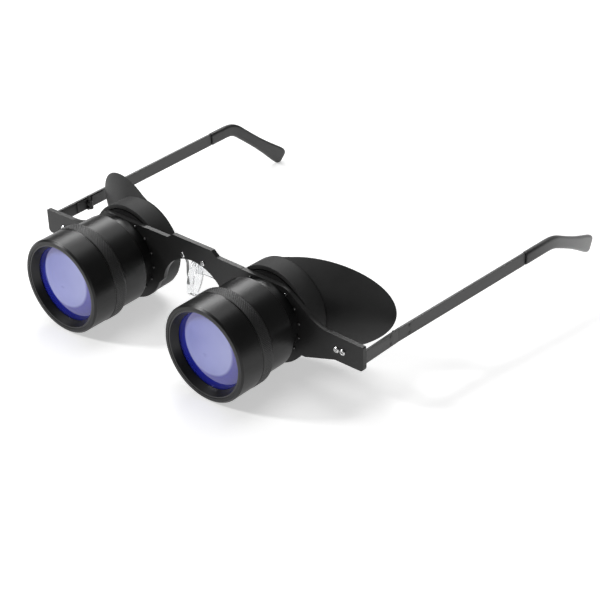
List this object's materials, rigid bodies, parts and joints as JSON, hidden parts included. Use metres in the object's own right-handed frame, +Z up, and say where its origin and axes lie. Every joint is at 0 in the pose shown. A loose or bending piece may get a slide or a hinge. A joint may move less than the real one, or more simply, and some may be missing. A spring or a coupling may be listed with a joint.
{
  "type": "spectacle binocular magnifier",
  "caption": "Hands-free binocular magnifier worn like spectacles: two focusing black barrels on a flat front plate, folding side arms, winged rubber eyecups, clear nose saddle.",
  "frame": {"origin": "middle of the front plate's front face, midway between the two barrel axes and level with them", "axes": "-Y the way the objectives look, +Y back along the side arms, +Z up; pieces named right stand at +X, seen at the right when facing the objectives"},
  "size_m": [0.1503, 0.1576, 0.0423],
  "materials": {
    "barrel_black": "satin black anodised",
    "cell_black": "matte black anodised",
    "tube_black": "satin black anodised",
    "bezel_grey": "satin grey anodised",
    "coated_glass": "polished, violet-blue coated",
    "eyepiece_glass": "polished, coated",
    "plate_grey": "fine dark powder coat",
    "pip_metal": "bare metal points",
    "screw_chrome": "plated",
    "cup_rubber": "matte soft rubber",
    "strip_steel": "dark satin coat",
    "hinge_steel": "darkened steel",
    "tip_plastic": "dark grey, satin",
    "wire_steel": "drawn wire",
    "clear_silicone": "clear soft silicone"
  },
  "bodies": {
    "frame": {"front_plate": "plate_grey", "bridge_rivets": "pip_metal", "nose_bracket": "strip_steel", "nose_saddle": "clear_silicone", "index_pips_left": "pip_metal", "index_pips_right": "pip_metal", "side_bracket_left": "strip_steel", "side_bracket_right": "strip_steel", "bracket_screws_left": "screw_chrome", "bracket_screws_right": "screw_chrome", "hinge_leaf_front_left": "hinge_steel", "hinge_leaf_front_right": "hinge_steel", "hinge_screw_left": "screw_chrome", "hinge_screw_right": "screw_chrome", "bracket_rivets_left": "hinge_steel", "bracket_rivets_right": "hinge_steel", "nose_wire_left": "wire_steel", "nose_wire_right": "wire_steel", "fixed_barrel_left": "barrel_black", "fixed_barrel_right": "barrel_black", "eyepiece_tube_left": "tube_black", "eyepiece_tube_right": "tube_black", "lock_ring_left": "tube_black", "lock_ring_right": "tube_black", "eyepiece_lens_left": "eyepiece_glass", "eyepiece_lens_right": "eyepiece_glass", "eyepiece_retainer_left": "cell_black", "eyepiece_retainer_right": "cell_black"},
    "temple_left": {"temple_strip_left": "strip_steel", "hinge_leaf_temple_left": "hinge_steel", "temple_rivets_left": "hinge_steel", "ear_tip_left": "tip_plastic"},
    "objective_left": {"objective_cell_left": "cell_black", "objective_lens_left": "coated_glass", "objective_bezel_left": "bezel_grey"},
    "focus_left": {"focus_ring_left": "barrel_black"},
    "eyecup_left": {"eyecup_sleeve_left": "cup_rubber", "eyecup_wing_left": "cup_rubber"},
    "temple_right": {"temple_strip_right": "strip_steel", "hinge_leaf_temple_right": "hinge_steel", "temple_rivets_right": "hinge_steel", "ear_tip_right": "tip_plastic"},
    "objective_right": {"objective_cell_right": "cell_black", "objective_lens_right": "coated_glass", "objective_bezel_right": "bezel_grey"},
    "focus_right": {"focus_ring_right": "barrel_black"},
    "eyecup_right": {"eyecup_sleeve_right": "cup_rubber", "eyecup_wing_right": "cup_rubber"}
  },
  "joints": [
    {"name": "temple_fold_left", "type": "hinge", "parent": "frame", "child": "temple_left", "pos_m": [-0.0705, 0.0184, -0.0013], "axis": [0, 0, -1], "range_deg": [-4, 90], "deforming": ["eyecup_wing_left"]},
    {"name": "focus_slide_left", "type": "slide", "parent": "frame", "child": "objective_left", "axis": [0, -1, 0], "range_m": [-0.0015, 0.0045]},
    {"name": "focus_turn_left", "type": "hinge", "parent": "objective_left", "child": "focus_left", "pos_m": [-0.033, -0.023, 0], "axis": [0, -1, 0], "range_deg": [-91, 271]},
    {"name": "eyecup_twist_left", "type": "hinge", "parent": "frame", "child": "eyecup_left", "pos_m": [-0.033, 0.006, 0], "axis": [0, 1, 0], "range_deg": [-15, 15]},
    {"name": "temple_fold_right", "type": "hinge", "parent": "frame", "child": "temple_right", "pos_m": [0.0705, 0.0184, -0.0013], "axis": [0, 0, 1], "range_deg": [-1, 86], "deforming": ["eyecup_wing_right"]},
    {"name": "focus_slide_right", "type": "slide", "parent": "frame", "child": "objective_right", "axis": [0, -1, 0], "range_m": [-0.0015, 0.0045]},
    {"name": "focus_turn_right", "type": "hinge", "parent": "objective_right", "child": "focus_right", "pos_m": [0.033, -0.023, 0], "axis": [0, -1, 0], "range_deg": [-91, 271]},
    {"name": "eyecup_twist_right", "type": "hinge", "parent": "frame", "child": "eyecup_right", "pos_m": [0.033, 0.006, 0], "axis": [0, 1, 0], "range_deg": [-15, 15]}
  ],
  "couplings": [
    {"joint": "focus_turn_left", "follows": "focus_slide_left", "rad_per_m": 1047.2},
    {"joint": "focus_turn_right", "follows": "focus_slide_right", "rad_per_m": 1047.2}
  ]
}
